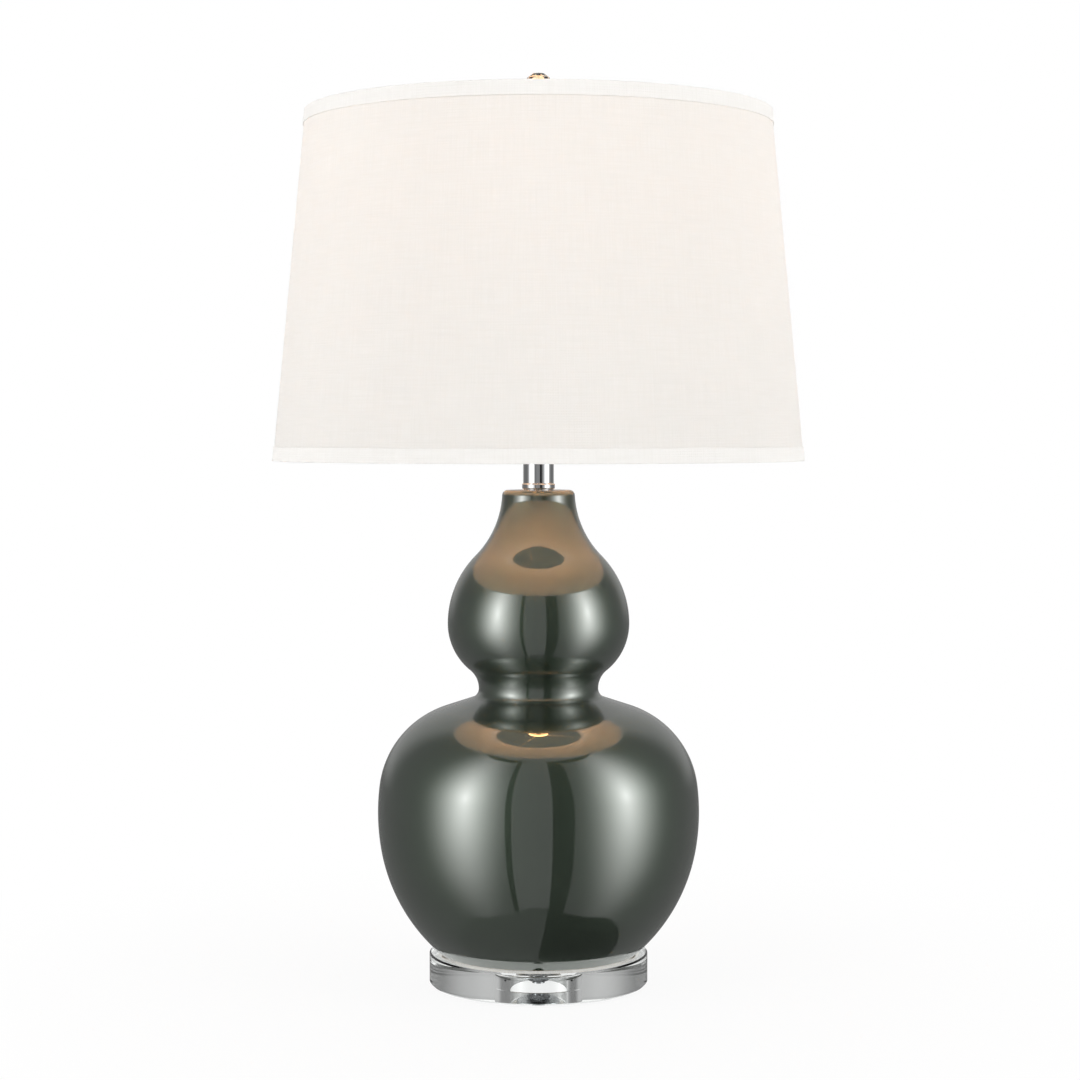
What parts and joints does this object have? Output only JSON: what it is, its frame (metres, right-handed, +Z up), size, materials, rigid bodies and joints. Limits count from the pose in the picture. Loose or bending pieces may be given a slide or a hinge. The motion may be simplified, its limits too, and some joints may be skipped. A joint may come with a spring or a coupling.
{
  "type": "double gourd table lamp",
  "caption": "Glazed double gourd table lamp on a clear round disc, with a tapered white drum shade on a harp and a cut crystal finial.",
  "frame": {"origin": "on the table under the lamp's upright axis, level with the undersides of the bumpers", "axes": "+Z up the lamp's axis; -Y towards the viewer, the side of the switch knob; +Y the back, the side of the cord outlet; +X to the viewer's right"},
  "size_m": [0.4063, 0.4064, 0.6983],
  "materials": {
    "clear_bumper": "clear soft polyurethane",
    "crystal": "clear cut and polished",
    "soft_washer": "clear soft sheet",
    "zinc_steel": "zinc plated",
    "clear_gasket": "clear soft ring",
    "glaze": "grey-green gloss glaze with a metallic lustre",
    "black_plastic": "moulded black",
    "polished_chrome": "mirror polished",
    "nickel": "bright nickel plate",
    "fibre_paper": "brown fibre paper",
    "brass": "bare brass",
    "solder": "dull solder",
    "frosted_glass": "frosted white",
    "white_linen": "plain white linen weave",
    "white_styrene": "translucent white sheet",
    "white_enamel": "white coated wire"
  },
  "bodies": {
    "base": {"base_bumpers": "clear_bumper", "crystal_base": "crystal", "base_cushion_washer": "soft_washer", "base_steel_washer": "zinc_steel", "base_nut": "zinc_steel", "foot_gasket": "clear_gasket", "ceramic_body": "glaze", "cord_bushing": "black_plastic", "threaded_rod": "zinc_steel", "neck_washer": "zinc_steel", "neck_nut": "zinc_steel", "neck_tube": "polished_chrome", "harp_saddle": "nickel", "harp_bow": "nickel", "socket_cap": "nickel", "socket_shell": "nickel", "socket_insulator": "fibre_paper", "socket_block": "black_plastic", "terminal_screws": "brass", "screw_shell": "brass", "centre_contact": "brass"},
    "switch": {"switch_shaft": "brass", "switch_knob": "black_plastic"},
    "right_sleeve": {"harp_sleeve_right": "nickel"},
    "left_sleeve": {"harp_sleeve_left": "nickel"},
    "bulb": {"bulb_tip": "solder", "bulb_cap": "nickel", "bulb_glass": "frosted_glass"},
    "shade": {"harp_stud": "nickel", "shade_top_ring": "white_enamel", "shade_fitter": "white_enamel", "shade_fabric": "white_linen", "shade_liner": "white_styrene", "shade_bottom_ring": "white_enamel", "shade_top_trim": "white_linen", "shade_bottom_trim": "white_linen"},
    "finial": {"finial_base": "nickel", "finial_ball": "crystal"}
  },
  "joints": [
    {"name": "switch_turn", "type": "hinge", "parent": "base", "child": "switch", "pos_m": [0, -0.016, 0.4657], "axis": [0, -1, 0], "continuous": true},
    {"name": "right_sleeve_lift", "type": "slide", "parent": "base", "child": "right_sleeve", "axis": [0, 0, 1], "range_m": [0, 0.024]},
    {"name": "left_sleeve_lift", "type": "slide", "parent": "base", "child": "left_sleeve", "axis": [0, 0, 1], "range_m": [0, 0.024]},
    {"name": "bulb_turn", "type": "hinge", "parent": "base", "child": "bulb", "pos_m": [0, 0, 0.4762], "axis": [0, 0, 1], "continuous": true},
    {"name": "shade_swivel", "type": "hinge", "parent": "base", "child": "shade", "pos_m": [0, 0, 0.6527], "axis": [0, 0, 1], "continuous": true},
    {"name": "finial_turn", "type": "hinge", "parent": "shade", "child": "finial", "pos_m": [0, 0, 0.6562], "axis": [0, 0, 1], "continuous": true}
  ]
}
